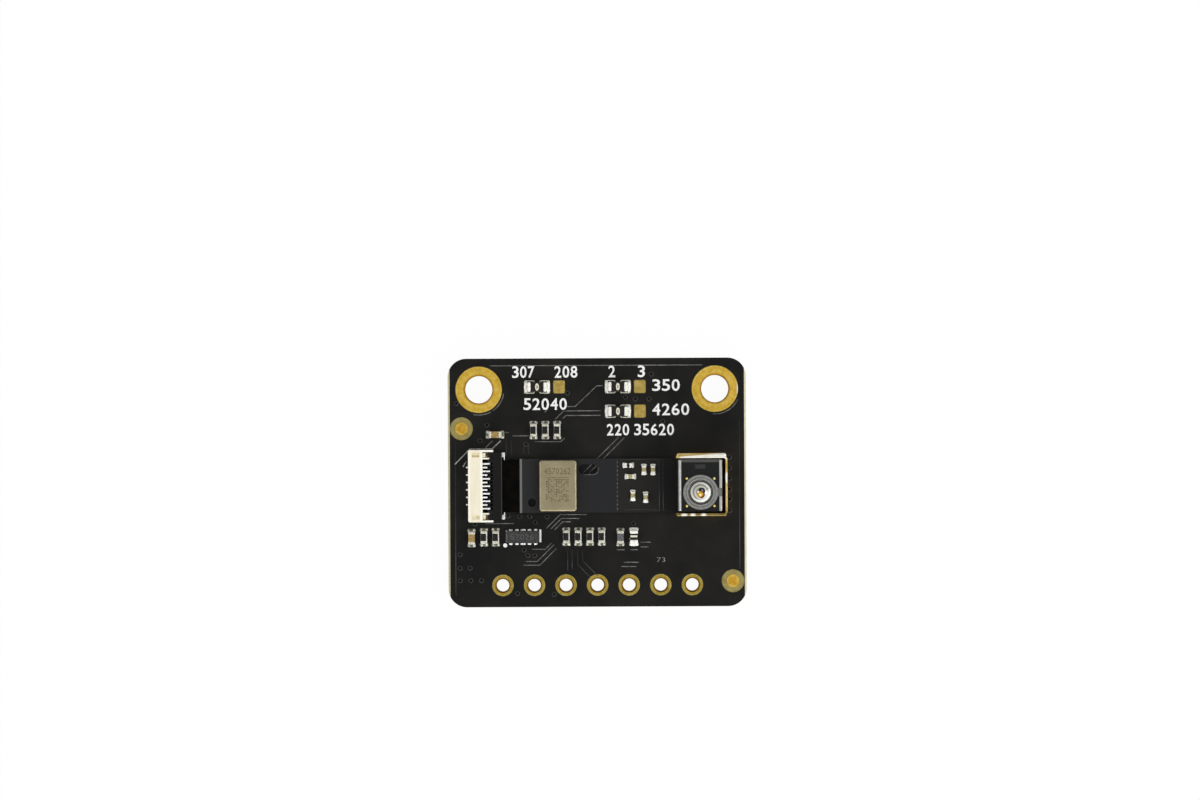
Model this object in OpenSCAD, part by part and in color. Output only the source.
// Air quality sensor module: a black breakout board with an optical particle sensor
// on a short flex circuit, which plugs into a flip-lock connector on the board.
// The board lies on its back. The origin is the centre of its underside, +X runs
// along its long side, +Y towards the two mounting holes, +Z out of the parts side.

/* [Board] */
// Width of the board along X
board_w = 24; // [23:0.5:32]
// Depth of the board along Y
board_d = 20; // [19:0.5:26]
// Thickness of the finished board, both solder masks included
board_t = 1.6; // [1.2:0.1:2.4]
// Radius of the board's corners
corner_r = 1.5; // [0.5:0.1:2]
// Thickness of the solder mask on each side
mask_t = 0.04; // [0.02:0.005:0.08]
// Thickness of the copper of pads and rings
copper_t = 0.035; // [0.015:0.005:0.07]
// Gap between a pad and the solder mask round it
mask_gap = 0.04; // [0.02:0.01:0.08]
// Width of the bevel that the score line leaves on the left and right edges
score_w = 0.16; // [0.05:0.01:0.3]
// Height of that bevel
score_h = 0.42; // [0.1:0.02:0.5]

/* [Plated holes] */
// Diameter of the two mounting holes
mount_hole_d = 2.2; // [1.8:0.1:2.6]
// Diameter of the ring round a mounting hole
mount_ring_d = 3.7; // [3:0.1:4]
// Distance of the mounting holes from the board's edges
mount_inset = 2.5; // [2.2:0.1:2.8]
// Number of header holes
header_n = 7; // [3:1:8]
// Distance between header holes
header_pitch = 2.54; // [2:0.01:2.6]
// Diameter of a header hole
header_hole_d = 1.02; // [0.8:0.02:1.1]
// Diameter of the ring round a header hole
header_ring_d = 1.68; // [1.5:0.02:1.9]
// Distance of the header holes from the front edge
header_inset = 1.75; // [1.3:0.05:2]
// Thickness of the plating in the holes
plating_t = 0.05; // [0.03:0.01:0.08]
// Rounding of a mounting hole's rim
mount_knee = 0.05; // [0.02:0.01:0.1]
// Rounding of a header hole's rim
header_knee = 0.12; // [0.02:0.01:0.15]

/* [Bare pads] */
// Size of a jumper pad
jumper_pad = [0.9, 1.0]; // [0.6:0.05:1.2]
// Corner radius of a jumper pad
jumper_pad_r = 0.15; // [0.05:0.05:0.25]
// Diameter of a fiducial's dot
fiducial_d = 1.05; // [0.8:0.05:1.2]
// Diameter of the bare laminate round a fiducial
fiducial_open_d = 1.85; // [1.5:0.05:2]

/* [Flip-lock connector] */
// Left face of the connector's housing, from the board's centre
connector_x = -10.37; // [-10.6:0.01:-10]
// Middle line of the connector, the flex and the sensor
module_y = -0.25; // [-0.5:0.05:0.5]
// Number of contacts
contact_n = 13; // [9:2:13]
// Distance between contacts
contact_pitch = 0.3; // [0.28:0.01:0.32]
// Thickness of a contact's sheet
contact_t = 0.12; // [0.08:0.01:0.14]
// Depth of a contact's beams
beam_t = 0.1; // [0.06:0.01:0.12]
// Height of the housing
housing_h = 0.9; // [0.88:0.01:1.1]
// Width of the housing's bar
bar_w = 1.15; // [1:0.05:1.3]
// Distance from the last contact to the housing's end
housing_side = 1.1; // [1:0.05:1.3]
// Thickness of the arms that hold the latch
arm_t = 0.15; // [0.1:0.01:0.2]
// How far those arms reach past the hinge line
arm_past = 0.27; // [0.2:0.01:0.35]
// Distance from the last contact to the finger beside it
finger_pitch = 0.42; // [0.35:0.01:0.45]
// Height of the hinge line above the board
hinge_h = 0.62; // [0.6:0.01:0.64]
// Distance of the hinge line from the housing's bar
hinge_out = 0.6; // [0.5:0.05:0.8]
// Radius of the latch's round back
cam_r = 0.18; // [0.15:0.01:0.19]
// Radius of the shaft that the contacts hook over
shaft_r = 0.07; // [0.05:0.01:0.08]
// Radius of the pivots at the latch's ends
pivot_r = 0.1; // [0.07:0.01:0.12]
// Length of the latch from the hinge line to its free edge
latch_reach = 0.97; // [0.8:0.01:1.1]
// Thickness of the latch
latch_t = 0.35; // [0.25:0.01:0.37]
// Height of the latch's upper face above the hinge line
latch_over = 0.24; // [0.2:0.01:0.26]
// Clearance round the latch
latch_gap = 0.03; // [0.02:0.005:0.04]
// Radial clearance of the latch's pivots
pivot_gap = 0.02; // [0.012:0.002:0.03]
// Width of the hold-down nails
nail_w = 0.35; // [0.25:0.01:0.4]
// Distance of the hold-down nails from the housing's ends
nail_inset = 0.4; // [0.38:0.01:0.45]

/* [Flex circuit] */
// Thickness of the flex circuit
flex_t = 0.09; // [0.06:0.01:0.1]
// Thickness of the stiffener on the flex's tail
stiffener_t = 0.11; // [0.08:0.01:0.12]
// Height of the flex above the board
flex_lift = 0.22; // [0.2:0.01:0.24]
// Width of the flex circuit past its tail
flex_w = 4.35; // [4.2:0.05:4.8]
// Length of the stiffened tail
tail_l = 3.15; // [3:0.05:3.4]
// Diameter of the round hole in the flex
flex_hole_d = 0.65; // [0.4:0.05:0.7]
// Length and width of the slot in the flex
flex_slot = [1.5, 0.75]; // [0.5:0.05:1.6]

/* [Driver chip] */
// Centre of the driver chip along X
driver_x = -3.15; // [-3.3:0.05:-3]
// Size of the driver chip
driver_size = [3.0, 4.1, 0.65]; // [0.5:0.05:4.2]
// Height of the chip's base plate
driver_base_h = 0.16; // [0.1:0.01:0.25]
// Rounding of the lid's upper edge
lid_round = 0.14; // [0.05:0.01:0.18]
// Corner radius of the lid
lid_corner = 0.22; // [0.15:0.01:0.4]

/* [Sensor head] */
// Centre of the sensor head along X
sensor_x = 8.25; // [7.9:0.05:8.35]
// Size of the sensor head
sensor_size = [3.6, 4.2, 3.0]; // [2.4:0.1:4.4]
// Width of the cut corner edges of the sensor head
sensor_edge = 0.08; // [0.02:0.01:0.12]
// Thickness of the two side plates
plate_t = 0.22; // [0.15:0.01:0.25]
// Width of the sloped step along the sensor head's back edge
step_w = 0.24; // [0.1:0.02:0.4]
// Place of the lens from the sensor head's centre
lens_at = [0.02, -0.53]; // [-0.6:0.01:0.6]
// Diameter of the lens
lens_d = 1.74; // [1.4:0.02:1.8]
// Height of the lens's dome
lens_dome = 0.24; // [0.1:0.02:0.4]
// Inner diameter of the ring round the lens
ring_in_d = 2.0; // [1.9:0.02:2.1]
// Outer diameter of that ring
ring_out_d = 2.8; // [2.6:0.02:2.84]
// Height of that ring above the sensor head
ring_h = 0.1; // [0.05:0.01:0.15]
// Diameter of the four pins round the lens
pin_d = 0.22; // [0.16:0.01:0.24]
// Distance between the pins
pin_pitch = 2.2; // [2.15:0.05:2.3]
// Depth of the lens's well
well_h = 0.5; // [0.4:0.05:0.8]
// Depth of the pocket below the well, where the emitter lies
pocket_h = 0.6; // [0.4:0.05:0.9]

/* [Bracket] */
// Thickness of the bracket's sheet
sheet_t = 0.17; // [0.1:0.01:0.2]
// Height of the bracket above the board
bracket_h = 3.4; // [2.8:0.1:3.6]
// Gap between the sensor head and the bracket's two long walls
bracket_gap = 0.1; // [0.05:0.01:0.14]
// Gap between the sensor head and the bracket's end wall
bracket_end_gap = 0.2; // [0.1:0.01:0.25]
// Radius of the rolled edge on the back wall
back_roll_r = 0.2; // [0.15:0.01:0.24]
// Radius of the rolled edge on the front wall
front_roll_r = 0.125; // [0.1:0.005:0.16]
// How far the end wall bulges outwards
bulge_out = 0.08; // [0.04:0.01:0.12]
// Corner radius of the bracket, outside
bracket_r = 0.3; // [0.25:0.01:0.5]

/* [Chips] */
// Length, width and height of a small resistor
resistor_size = [1.0, 0.5, 0.35]; // [0.2:0.01:1.1]
// Length, width and height of a jumper resistor
jumper_size = [1.6, 0.8, 0.45]; // [0.3:0.01:1.7]
// Length, width and height of a ceramic capacitor or a bead
capacitor_size = [1.0, 0.5, 0.5]; // [0.3:0.01:1.1]
// Length, width and height of a chip on the flex
flex_chip_size = [0.6, 0.3, 0.3]; // [0.2:0.01:0.65]
// Length, width and height of the diode's body
diode_size = [1.0, 0.6, 0.4]; // [0.3:0.01:1.1]
// Length of the metal ends, as a share of a chip's length
end_share = 0.22; // [0.15:0.01:0.3]
// How far the metal ends stand proud of the body
end_lift = 0.012; // [0.005:0.001:0.02]
// Length of a solder fillet in front of a chip's end
solder_run = 0.26; // [0.15:0.01:0.3]
// Length of a solder fillet in front of the end of a chip on the flex
flex_solder_run = 0.17; // [0.1:0.01:0.2]
// Gap between neighbours in a row of resistors
row_gap = 0.45; // [0.3:0.01:0.6]
// Length, width and height of the protector chip's body
protector_size = [2.5, 1.0, 0.5]; // [0.3:0.05:2.6]
// Distance between the protector chip's leads
protector_pitch = 0.5; // [0.45:0.01:0.5]

/* [Hidden] */
// Overlap of fused shapes, how far a cut runs on past its piece, and the gap in a press fit
eps = 0.01;
over = 1;
press_gap = 0.01;
core_bottom = mask_t;
core_top = board_t - mask_t;

mount_at = [for (s = [-1, 1]) [s * (board_w / 2 - mount_inset), board_d / 2 - mount_inset]];
header_at = [for (i = [0:header_n - 1])
    [(i - (header_n - 1) / 2) * header_pitch, -board_d / 2 + header_inset]];
fiducial_side = 1.1;
fiducial_at = [[-board_w / 2 + fiducial_side, 4.37], [board_w / 2 - fiducial_side, -7.97]];

jumper_at = [[-4.8, 7.7], [1.7, 7.7], [1.7, 5.72]];
jumper_gap = 0.26;
jumper_step = (jumper_size.x + jumper_pad.x) / 2 + solder_run + jumper_gap;
jumper_pad_at = [for (at = jumper_at) at + [jumper_step, 0]];

row_pitch = resistor_size.y + row_gap;
resistor_at = concat(
    [for (i = [0:2]) [-5.1 + i * row_pitch, 4.23]],
    [for (i = [0:1]) [-9.13 + i * row_pitch, -4.37]],
    [for (i = [0:3]) [-2.5 + i * row_pitch, -4.35]]);
capacitor_at = [[-8.2, 3.88, 0], [-10.12, -4.42, 90]];
bead_at = [1.85, -4.4, 90];
diode_at = [2.93, -4.38, 90];
protector_at = [-5.97, -4.36];
flex_resistor_at = [2.5, 1.37, 0];
flex_capacitor_at = [[2.67, 0.47, 0], [3.77, 1.03, 90], [4.5, 1.02, 90],
    [2.87, -1.05, 90], [3.9, -1.2, 90]];

contact_y = [for (i = [0:contact_n - 1]) (i - (contact_n - 1) / 2) * contact_pitch];
finger_y = contact_y[contact_n - 1] + finger_pitch;
housing_l = (contact_n - 1) * contact_pitch + 2 * housing_side;
housing_edge = 0.06;
hinge_x = bar_w + hinge_out;
latch_l = housing_l - 2 * (arm_t + latch_gap);
latch_front = hinge_x + latch_reach;
hook_gap = 0.03;
hook_z = hinge_h + shaft_r + hook_gap;
slit_w = contact_t + 0.08;
slit_reach = hook_z + beam_t - hinge_h + latch_gap;
floor_t = 0.05;
floor_l = 0.8;
post_x = 0.32;
post_w = 0.2;
touch_gap = 0.005;
nail_y = housing_l / 2 - nail_inset;

tail_w = (contact_n + 1) * contact_pitch;
flex_z = board_t + flex_lift;
flex_top = flex_z + flex_t;
tail_x0 = connector_x + bar_w + latch_gap;
tail_x1 = tail_x0 + tail_l;
wide_x0 = tail_x1 - 0.3;
backing_x0 = tail_x1 - 0.2;
flex_hole_at = [driver_x - 2.1, module_y - 1.35];
flex_slot_at = [driver_x + 2.4, module_y + 1.33];

plate_inset = 0.07;
plate_foot = 0.4;
plate_x = sensor_size.x / 2 - plate_t / 2 - plate_inset;
plate_l = sensor_size.y - 2 * plate_inset;
plate_h = sensor_size.z - plate_foot;
pin_h = 0.3;
pin_at = [for (x = [-1, 1], y = [-1, 1]) lens_at + [x, y] * pin_pitch / 2];

bracket_in = [sensor_size.x / 2 + bracket_end_gap, sensor_size.y / 2 + bracket_gap];
bracket_out = bracket_in + [sheet_t, sheet_t];
bracket_lead = 0.12;
bracket_open = -sensor_size.x / 2 - bracket_lead;
flex_end_w = sensor_size.y + bracket_gap;
flex_end_x0 = sensor_x + bracket_open - back_roll_r;
flex_end_x1 = sensor_x + bracket_in.x - bracket_gap;

// Shapes that several pieces share

module round_rect(w, d, r) {
    square([w - 2 * r, d], center = true);
    square([w, d - 2 * r], center = true);
    for (x = [-1, 1], y = [-1, 1])
        translate([x * (w / 2 - r), y * (d / 2 - r)])
            circle(r);
}

module cut_rect(w, d, c) {
    polygon([[-w / 2 + c, -d / 2], [w / 2 - c, -d / 2], [w / 2, -d / 2 + c], [w / 2, d / 2 - c],
        [w / 2 - c, d / 2], [-w / 2 + c, d / 2], [-w / 2, d / 2 - c], [-w / 2, -d / 2 + c]]);
}

// A box on z = 0 with all its edges cut back by c
module cut_box(size, c) {
    intersection() {
        linear_extrude(size.z)
            cut_rect(size.x, size.y, c);
        translate([0, size.y / 2, size.z / 2])
            rotate([90, 0, 0])
                linear_extrude(size.y)
                    cut_rect(size.x, size.z, c);
        translate([-size.x / 2, 0, size.z / 2])
            rotate([90, 0, 90])
                linear_extrude(size.x)
                    cut_rect(size.y, size.z, c);
    }
}

// A profile drawn in X and Z, extruded along Y and centred on it
module along_y(l) {
    translate([0, l / 2, 0])
        rotate([90, 0, 0])
            linear_extrude(l)
                children();
}

module rod_y(r, l) {
    rotate([90, 0, 0])
        cylinder(h = l, r = r, center = true);
}

module place(at, z) {
    translate([at.x, at.y, z])
        rotate([0, 0, len(at) > 2 ? at.z : 0])
            children();
}

// Board

module board_outline() {
    round_rect(board_w, board_d, corner_r);
}

module drill(at, d, knee) {
    r = d / 2 + plating_t;
    translate([at.x, at.y, 0]) {
        cylinder(h = board_t, r = r);
        translate([0, 0, core_top - knee])
            cylinder(h = knee + eps, r1 = r, r2 = r + knee + eps);
        translate([0, 0, core_bottom - eps])
            cylinder(h = knee + eps, r1 = r + knee + eps, r2 = r);
    }
}

module printed_board() {
    x = board_w / 2;
    color("#c9bd86")
        difference() {
            intersection() {
                translate([0, 0, core_bottom])
                    linear_extrude(core_top - core_bottom)
                        board_outline();
                along_y(board_d + over)
                    polygon([[score_w - x, core_bottom], [x - score_w, core_bottom],
                        [x, core_bottom + score_h], [x, core_top - score_h],
                        [x - score_w, core_top], [score_w - x, core_top],
                        [-x, core_top - score_h], [-x, core_bottom + score_h]]);
            }
            for (at = mount_at)
                drill(at, mount_hole_d, mount_knee);
            for (at = header_at)
                drill(at, header_hole_d, header_knee);
        }
}

module mask_shape(top) {
    difference() {
        intersection() {
            board_outline();
            square([board_w - 2 * score_w, board_d], center = true);
        }
        for (at = mount_at)
            translate(at)
                circle(mount_ring_d / 2 + mask_gap);
        for (at = header_at)
            translate(at)
                circle(header_ring_d / 2 + mask_gap);
        if (top) {
            for (at = fiducial_at)
                translate(at)
                    circle(fiducial_open_d / 2);
            for (at = jumper_pad_at)
                translate(at)
                    round_rect(jumper_pad.x + 2 * mask_gap, jumper_pad.y + 2 * mask_gap, jumper_pad_r);
        }
    }
}

module top_solder_mask() {
    color("#1b1b1c")
        translate([0, 0, core_top])
            linear_extrude(mask_t)
                mask_shape(true);
}

module bottom_solder_mask() {
    color("#1b1b1c")
        linear_extrude(mask_t)
            mask_shape(false);
}

// A plated hole: a barrel with a ring on each face of the laminate
module eyelet(at, d, ring_d, knee) {
    r = d / 2;
    outer = r + plating_t;
    color("#d8b04a")
        translate([at.x, at.y, 0])
            rotate_extrude()
                polygon([[ring_d / 2, core_top + copper_t], [r + knee, core_top + copper_t],
                    [r, core_top + copper_t - knee], [r, core_bottom - copper_t + knee],
                    [r + knee, core_bottom - copper_t], [ring_d / 2, core_bottom - copper_t],
                    [ring_d / 2, core_bottom], [outer + knee, core_bottom],
                    [outer, core_bottom + knee], [outer, core_top - knee],
                    [outer + knee, core_top], [ring_d / 2, core_top]]);
}

module jumper_pad(i) {
    color("#d8b04a")
        place(jumper_pad_at[i], core_top)
            linear_extrude(copper_t)
                round_rect(jumper_pad.x, jumper_pad.y, jumper_pad_r);
}

module fiducial(i) {
    color("#d8b04a")
        place(fiducial_at[i], core_top)
            cylinder(h = copper_t, d = fiducial_d);
}

// Flip-lock connector: everything is drawn from the left face of its housing

module at_connector() {
    translate([connector_x, module_y, board_t])
        children();
}

// Outline of the bar, seen along Y, with its two long upper edges cut back
module bar_profile(l, drop) {
    c = housing_edge;
    polygon([[0, 0], [l, 0], [l, housing_h - drop - c], [l - c, housing_h - drop],
        [c, housing_h - drop], [0, housing_h - drop - c]]);
}

module connector_housing() {
    root = bar_w - housing_edge;
    end_cut = 0.1;
    color("#f3eedd")
        at_connector()
            difference() {
                union() {
                    intersection() {
                        along_y(housing_l)
                            bar_profile(bar_w, 0);
                        translate([bar_w / 2, 0, 0])
                            linear_extrude(housing_h)
                                cut_rect(bar_w, housing_l, end_cut);
                    }
                    for (s = [-1, 1]) {
                        translate([0, s * (housing_l - arm_t) / 2, 0])
                            translate([end_cut, 0, 0])
                                along_y(arm_t)
                                    bar_profile(hinge_x + arm_past - end_cut, 0);
                        translate([0, s * finger_y, 0])
                            along_y(contact_t)
                                polygon([[root, hook_z], [hinge_x - hook_gap, hook_z],
                                    [hinge_x - beam_t, hook_z + beam_t], [root, hook_z + beam_t]]);
                    }
                    translate([root, (arm_t - housing_l) / 2, 0])
                        cube([floor_l, housing_l - arm_t, floor_t]);
                }
                contact_slots();
                nail_slots();
                translate([hinge_x, 0, hinge_h])
                    rod_y(pivot_r + pivot_gap, housing_l + over);
            }
}

module contact_slots() {
    w = contact_t + 2 * press_gap;
    for (i = [0:contact_n - 1])
        translate([post_x - press_gap, contact_y[i] - w / 2, -eps])
            cube([bar_w, w, hook_z + beam_t + press_gap + eps]);
    for (i = [1:2:contact_n - 2])
        translate([-eps, contact_y[i] - w / 2, -eps])
            cube([bar_w, w, beam_t + press_gap + eps]);
}

// Slots for the nails, each with a window in the housing's top above it
module nail_slots() {
    w = nail_w + 2 * press_gap;
    for (s = [-1, 1])
        translate([post_x, s * nail_y, hook_z]) {
            translate([-press_gap, -w / 2, -press_gap])
                cube([bar_w, w, beam_t + 2 * press_gap]);
            translate([0, -nail_w / 2, 0])
                cube([bar_w / 2, nail_w, housing_h]);
        }
}

// A contact cut from sheet: an upper beam that hooks over the latch's shaft, a lower
// one that presses on the flex, a post between them and a foot to solder
module contact(hook_back, foot_in_front) {
    bump_r = 0.07;
    bump_z = flex_lift - touch_gap - bump_r;
    spring_t = 0.07;
    lower_z = floor_t + press_gap;
    tip = hinge_x - hook_back;
    foot_l = 0.15;
    tail = 0.18;
    along_y(contact_t) {
        translate([post_x, lower_z])
            square([post_w, hook_z + beam_t - lower_z]);
        translate([post_x, hook_z])
            square([tip - post_x - beam_t / 2, beam_t]);
        translate([tip - beam_t / 2, hook_z + beam_t / 2])
            circle(beam_t / 2);
        translate([post_x, lower_z])
            square([hinge_x - post_x, spring_t]);
        translate([hinge_x, bump_z])
            circle(bump_r);
        if (foot_in_front) {
            translate([hinge_x, bump_z - bump_r])
                square([latch_front + foot_l - hinge_x, bump_r]);
            translate([latch_front, 0])
                square([foot_l, bump_z]);
        } else {
            translate([-tail, 0])
                square([post_x + post_w + tail, beam_t]);
        }
    }
}

module connector_rear_contacts() {
    short_hook = 0.23;
    color("#e9e6de")
        at_connector()
            for (i = [1:2:contact_n - 2])
                translate([0, contact_y[i], 0])
                    contact(short_hook, false);
}

module connector_front_contacts() {
    color("#e9e6de")
        at_connector()
            for (i = [0:2:contact_n - 1])
                translate([0, contact_y[i], 0])
                    contact(hook_gap, true);
}

// Sheet metal nails that hold the housing's ends to the board: a blade in the housing,
// a leaf in front of it, and a rail under the latch that ends in a soldered foot
module connector_hold_downs() {
    leaf_x = bar_w + 0.05;
    leaf_t = 0.2;
    rail_t = 0.13;
    rail_h = hinge_h - latch_over - latch_gap;
    foot = [0.22, 0.12];
    toe = [0.08, 0.25];
    color("#d9c489")
        at_connector()
            for (s = [0, 1])
                mirror([0, s, 0])
                    translate([0, nail_y - nail_w / 2, 0]) {
                        translate([post_x, 0, hook_z])
                            cube([leaf_x + leaf_t - post_x, nail_w, beam_t]);
                        translate([leaf_x, 0, floor_t])
                            cube([leaf_t, nail_w, hook_z + beam_t - floor_t]);
                        translate([leaf_x, 0, floor_t])
                            cube([latch_front + foot.x - leaf_x, rail_t, rail_h - floor_t]);
                        translate([latch_front, 0, 0])
                            cube([foot.x, nail_w, foot.y]);
                        translate([latch_front + foot.x - toe.x, -toe.y, 0])
                            cube([toe.x, toe.y + eps, foot.y]);
                    }
}

// The latch in its closed place: a round back with slits for the hooks, a shaft that
// shows in the slits, and a pivot at each end
module connector_latch() {
    c = 0.06;
    top = hinge_h + latch_over;
    pivot_l = arm_t + 2 * latch_gap;
    color("#242424")
        at_connector()
            union() {
                difference() {
                    union() {
                        along_y(latch_l)
                            polygon([[hinge_x, top - latch_t], [latch_front - c, top - latch_t],
                                [latch_front, top - latch_t + c], [latch_front, top - c],
                                [latch_front - c, top], [hinge_x, top]]);
                        translate([hinge_x, 0, hinge_h])
                            rod_y(cam_r, latch_l);
                    }
                    for (y = concat([-finger_y], contact_y, [finger_y]))
                        translate([hinge_x - over, y - slit_w / 2, 0])
                            cube([over + slit_reach, slit_w, housing_h + over]);
                }
                translate([hinge_x, 0, hinge_h])
                    rod_y(shaft_r, latch_l - 2 * latch_gap);
                for (s = [-1, 1])
                    translate([hinge_x, s * (housing_l - pivot_l - latch_gap) / 2, hinge_h])
                        rod_y(pivot_r, pivot_l);
            }
}

// Flex circuit

module flex_holes() {
    translate(flex_hole_at)
        circle(flex_hole_d / 2);
    translate(flex_slot_at)
        round_rect(flex_slot.x, flex_slot.y, flex_slot.y / 2 - eps);
}

// Plan of the flex past its tail: narrower where the sensor's bracket stands round it
module flex_plan(x0, inset) {
    translate([x0, inset - flex_w / 2])
        square([flex_end_x0 - x0, flex_w - 2 * inset]);
    translate([flex_end_x0 - eps, inset - flex_end_w / 2])
        square([flex_end_x1 - flex_end_x0 + eps - inset, flex_end_w - 2 * inset]);
}

module flex_circuit() {
    color("#3a3a3c")
        translate([0, 0, flex_z])
            linear_extrude(flex_t)
                difference() {
                    translate([0, module_y]) {
                        translate([tail_x0, -tail_w / 2])
                            square([tail_l, tail_w]);
                        flex_plan(wide_x0, 0);
                    }
                    flex_holes();
                }
}

// The glossy stiffener on the tail ends in a slope as wide as the flex
module flex_stiffener() {
    slope = 0.18;
    color("#0e0e0f")
        translate([0, module_y, flex_top])
            union() {
                along_y(tail_w)
                    polygon([[tail_x0, 0], [tail_x1, 0], [tail_x1 - slope, stiffener_t],
                        [tail_x0, stiffener_t]]);
                along_y(flex_w)
                    polygon([[wide_x0, 0], [tail_x1, 0], [tail_x1 - slope, stiffener_t],
                        [wide_x0, stiffener_t]]);
            }
}

module flex_backing() {
    inset = 0.05;
    color("#26221f")
        translate([0, 0, board_t])
            linear_extrude(flex_lift)
                difference() {
                    translate([0, module_y])
                        flex_plan(backing_x0, inset);
                    flex_holes();
                }
}

// Driver chip

module driver_chip_base() {
    color("#2f2e2b")
        translate([driver_x, module_y, flex_top])
            linear_extrude(driver_base_h)
                round_rect(driver_size.x, driver_size.y, lid_corner);
}

// A pressed metal lid: its upper edge is a quarter round
module driver_chip_lid() {
    steps = 4;
    h = driver_size.z - driver_base_h;
    color("#b7ae9c")
        translate([driver_x, module_y, flex_top + driver_base_h])
            hull() {
                for (i = [0:steps]) {
                    a = 90 * i / steps;
                    inset = lid_round * (1 - cos(a));
                    z = i == 0 ? 0 : h - lid_round * (1 - sin(a)) - eps;
                    translate([0, 0, z])
                        linear_extrude(i == 0 ? h - lid_round : eps)
                            round_rect(driver_size.x - 2 * inset, driver_size.y - 2 * inset,
                                lid_corner - inset, $fn = 32);
                }
            }
}

// Sensor head

module at_sensor() {
    translate([sensor_x, module_y, flex_top])
        children();
}

// What is cut from the sensor head: the step, the seats of the side plates, the lens's
// well, the emitter's pocket, the pins' holes and a shallow mark
module sensor_cuts() {
    top = sensor_size.z;
    well_r = ring_in_d / 2;
    seat = [plate_t + 2 * press_gap, plate_l + 2 * press_gap];
    mark = [0.86, 0.37, 0.03];
    mark_inset = 0.4;
    back_step();
    for (s = [-1, 1])
        translate([s * plate_x - seat.x / 2, -seat.y / 2, plate_foot])
            cube([seat.x, seat.y, plate_h + over]);
    translate([lens_at.x, lens_at.y, top - well_h])
        cylinder(h = well_h + over, r = well_r);
    translate([lens_at.x, lens_at.y, top - well_h - pocket_h])
        cylinder(h = pocket_h + eps, r = well_r / 2);
    for (at = pin_at)
        translate([at.x, at.y, top - pin_h])
            cylinder(h = pin_h + over, r = pin_d / 2 + press_gap);
    translate([-mark.x / 2, sensor_size.y / 2 - mark_inset - mark.y, top - mark.z])
        cube([mark.x, mark.y, over]);
}

module back_step() {
    drop_in = 0.1;
    drop_out = 0.16;
    y = sensor_size.y / 2;
    z = sensor_size.z;
    translate([-sensor_size.x, 0, 0])
        rotate([90, 0, 90])
            linear_extrude(2 * sensor_size.x)
                polygon([[y - step_w, z + eps], [y - step_w, z - drop_in], [y + eps, z - drop_out],
                    [y + eps, z + eps]]);
}

module sensor_housing() {
    color("#141414")
        at_sensor()
            difference() {
                cut_box(sensor_size, sensor_edge);
                sensor_cuts();
            }
}

module sensor_side_plates() {
    color("#b9b9b7")
        at_sensor()
            for (s = [-1, 1])
                translate([s * plate_x, 0, sensor_size.z - plate_h])
                    cut_box([plate_t, plate_l, plate_h], 0.02);
}

module sensor_lens() {
    r = lens_d / 2;
    ball = (r * r + lens_dome * lens_dome) / (2 * lens_dome);
    rim_h = well_h - 0.1;
    color("#dfe6e8")
        at_sensor()
            translate([lens_at.x, lens_at.y, sensor_size.z - well_h])
                intersection() {
                    cylinder(h = rim_h + lens_dome, r = r);
                    translate([0, 0, rim_h + lens_dome - ball])
                        sphere(ball, $fn = 96);
                }
}

// Half section of the ring round the lens: a raised rim, a fine groove and a lower flange
module ring_section(a, b, c) {
    groove = 0.03;
    step_r = (a + b) / 2;
    polygon([[a, 0], [b, 0], [b, ring_h - c], [b - c, ring_h], [step_r + groove, ring_h],
        [step_r, ring_h - groove], [step_r - groove, ring_h - groove / 2],
        [a + c, ring_h - groove / 2], [a, ring_h - c]]);
}

// The ring's tab in plan, with a round hollow on each side where it leaves a ring of radius b
module ring_tab(b, l) {
    tab_w = 0.66;
    flare = 0.15;
    flare_y = tab_w / 2 + flare;
    flare_x = sqrt((b + flare) * (b + flare) - flare_y * flare_y);
    touch_y = flare_y * b / (b + flare);
    x = b * 0.9;
    difference() {
        union() {
            translate([x, -tab_w / 2])
                square([l - x, tab_w]);
            translate([x, -touch_y])
                square([flare_x - x, 2 * touch_y]);
        }
        for (s = [-1, 1])
            translate([flare_x, s * flare_y])
                circle(flare);
    }
}

// The ring round the lens, with a tab that laps over the right side plate
module lens_ring() {
    c = 0.03;
    b = ring_out_d / 2;
    color("#8f8f8e")
        at_sensor()
            translate([lens_at.x, lens_at.y, sensor_size.z]) {
                rotate_extrude()
                    ring_section(ring_in_d / 2, b, c);
                linear_extrude(ring_h - c)
                    ring_tab(b, plate_x + plate_t / 2 - lens_at.x);
            }
}

module sensor_emitter() {
    side = ring_in_d / 4;
    emitter_h = 0.3;
    color("#b98a3c")
        at_sensor()
            translate([lens_at.x, lens_at.y, sensor_size.z - well_h - pocket_h])
                linear_extrude(emitter_h)
                    square(side, center = true);
}

module sensor_pins() {
    r = pin_d / 2;
    color("#e2c063")
        at_sensor()
            for (at = pin_at)
                translate([at.x, at.y, sensor_size.z - pin_h]) {
                    cylinder(h = pin_h, r = r);
                    translate([0, 0, pin_h])
                        intersection() {
                            sphere(r);
                            cylinder(h = r, r = r);
                        }
                }
}

// Bracket: a strip bent round three sides of the sensor head

// Plan of the bracket's outer or inner face, closed on the left for now
module bracket_plan(size, r) {
    l = size.x - bracket_open + over;
    translate([size.x - l / 2, 0])
        round_rect(l, 2 * size.y, r);
}

// A rolled edge along X, with round ends, the right one part way over the end wall
module rolled_edge(y, r) {
    l = bracket_in.x + sheet_t / 2 - bracket_open - 2 * r;
    translate([bracket_open + r, y, bracket_h - r])
        rotate([0, 90, 0]) {
            cylinder(h = l, r = r);
            sphere(r);
            translate([0, 0, l])
                sphere(r);
        }
}

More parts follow.
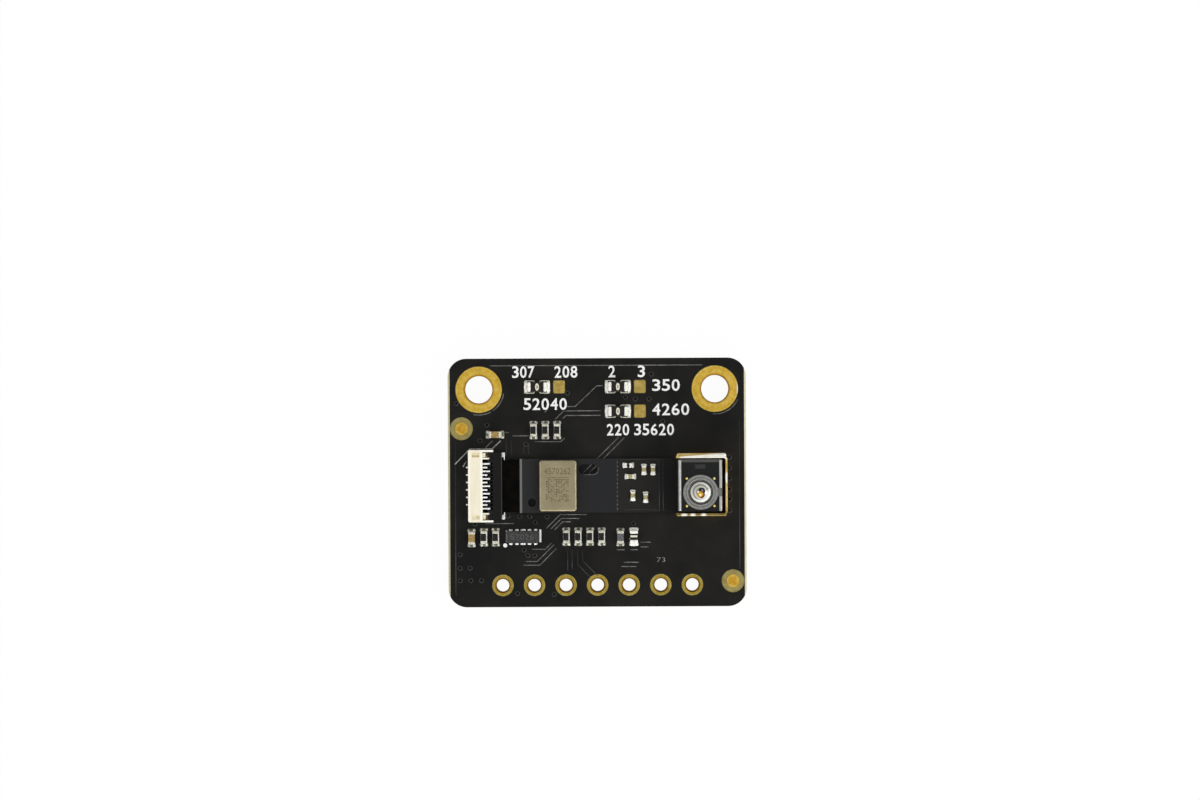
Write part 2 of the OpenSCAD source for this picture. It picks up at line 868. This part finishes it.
module sensor_bracket() {
    bulge_y = 0.6;
    bulge_half = 0.4;
    bulge_r = (bulge_half * bulge_half + bulge_out * bulge_out) / (2 * bulge_out);
    color("#d9b457")
        translate([sensor_x, module_y, board_t])
            union() {
                linear_extrude(bracket_h)
                    difference() {
                        union() {
                            bracket_plan(bracket_out, bracket_r);
                            translate([bracket_out.x + bulge_out - bulge_r, bulge_y])
                                circle(bulge_r);
                        }
                        bracket_plan(bracket_in, bracket_r - sheet_t);
                        translate([bracket_open - 2 * over, -bracket_out.y - over])
                            square([2 * over, 2 * (bracket_out.y + over)]);
                    }
                rolled_edge(bracket_in.y + back_roll_r, back_roll_r);
                rolled_edge(-bracket_in.y - front_roll_r, front_roll_r);
            }
}

// Chips

// A chip part along X: a body with a metal cap on each end
module chip(size, edge) {
    end_l = size.x * end_share;
    inner = [size.x - 2 * end_lift, size.y - 2 * end_lift, size.z - 2 * end_lift];
    translate([0, 0, end_lift])
        cut_box(inner, edge);
    for (s = [-1, 1])
        translate([s * (size.x - end_l) / 2, 0, 0])
            cut_box([end_l, size.y, size.z], edge);
}

module jumper_resistor(i) {
    color("#20201f")
        place(jumper_at[i], board_t)
            chip(jumper_size, 0.02);
}

module resistor(i) {
    color("#20201f")
        place(resistor_at[i], board_t)
            rotate([0, 0, 90])
                chip(resistor_size, 0.015);
}

module capacitor(i) {
    color("#a98a5e")
        place(capacitor_at[i], board_t)
            chip(capacitor_size, 0.04);
}

module ferrite_bead() {
    color("#6d6d6f")
        place(bead_at, board_t)
            chip(capacitor_size, 0.04);
}

module diode() {
    color("#1c1c1c")
        place(diode_at, board_t)
            chip(diode_size, 0.02);
}

module flex_resistor() {
    color("#20201f")
        place(flex_resistor_at, flex_top)
            chip(flex_chip_size, 0.015);
}

module flex_capacitor(i) {
    color("#7a6a55")
        place(flex_capacitor_at[i], flex_top)
            chip(flex_chip_size, 0.025);
}

module protector_body() {
    color("#3b3b3d")
        place(protector_at, board_t)
            cut_box(protector_size, 0.04);
}

module protector_leads() {
    lead = [0.27, 0.14, 0.13];
    wide_lead = 0.42;
    color("#dcdad3")
        place(protector_at, board_t)
            for (s = [-1, 1], i = [-2:2])
                translate([i * protector_pitch, s * (protector_size.y + lead.y) / 2, 0])
                    linear_extrude(lead.z)
                        square([i == 0 ? wide_lead : lead.x, lead.y], center = true);
}

// Solder in front of a chip's end face: a hollow fillet that climbs the metal cap, a
// little wider than the chip and with its outer corners cut
module solder_fillet(size, run) {
    rise = min(size.z * 0.75, run);
    foot = 0.03;
    wide = size.y / 2 + 0.06;
    corner = run / 3;
    translate([size.x / 2, 0, 0])
        intersection() {
            along_y(2 * wide)
                difference() {
                    square([run, rise]);
                    translate([run + eps, rise + foot])
                        circle(rise);
                }
            linear_extrude(rise)
                polygon([[0, -size.y / 2], [corner, -wide], [run - corner, -wide],
                    [run, corner - wide], [run, wide - corner], [run - corner, wide],
                    [corner, wide], [0, size.y / 2]]);
        }
}

module solder_pair(at, z, size, run) {
    place(at, z)
        for (turn = [0, 180])
            rotate([0, 0, turn])
                solder_fillet(size, run);
}

module solder_joints() {
    color("#c9c9c6") {
        for (at = jumper_at)
            solder_pair(at, board_t, jumper_size, solder_run);
        for (at = resistor_at)
            solder_pair([at.x, at.y, 90], board_t, resistor_size, solder_run);
        for (at = capacitor_at)
            solder_pair(at, board_t, capacitor_size, solder_run);
        solder_pair(bead_at, board_t, capacitor_size, solder_run);
        solder_pair(diode_at, board_t, diode_size, solder_run);
        solder_pair(flex_resistor_at, flex_top, flex_chip_size, flex_solder_run);
        for (at = flex_capacitor_at)
            solder_pair(at, flex_top, flex_chip_size, flex_solder_run);
    }
}

printed_board();
top_solder_mask();
bottom_solder_mask();
for (i = [0:1])
    eyelet(mount_at[i], mount_hole_d, mount_ring_d, mount_knee);
for (i = [0:header_n - 1])
    eyelet(header_at[i], header_hole_d, header_ring_d, header_knee);
for (i = [0:len(jumper_at) - 1])
    jumper_pad(i);
for (i = [0:1])
    fiducial(i);
connector_housing();
connector_rear_contacts();
connector_front_contacts();
connector_hold_downs();
connector_latch();
flex_circuit();
flex_stiffener();
flex_backing();
driver_chip_base();
driver_chip_lid();
sensor_housing();
sensor_side_plates();
sensor_lens();
lens_ring();
sensor_emitter();
sensor_pins();
sensor_bracket();
protector_body();
protector_leads();
for (i = [0:len(jumper_at) - 1])
    jumper_resistor(i);
for (i = [0:len(resistor_at) - 1])
    resistor(i);
for (i = [0:len(capacitor_at) - 1])
    capacitor(i);
ferrite_bead();
diode();
flex_resistor();
for (i = [0:len(flex_capacitor_at) - 1])
    flex_capacitor(i);
solder_joints();
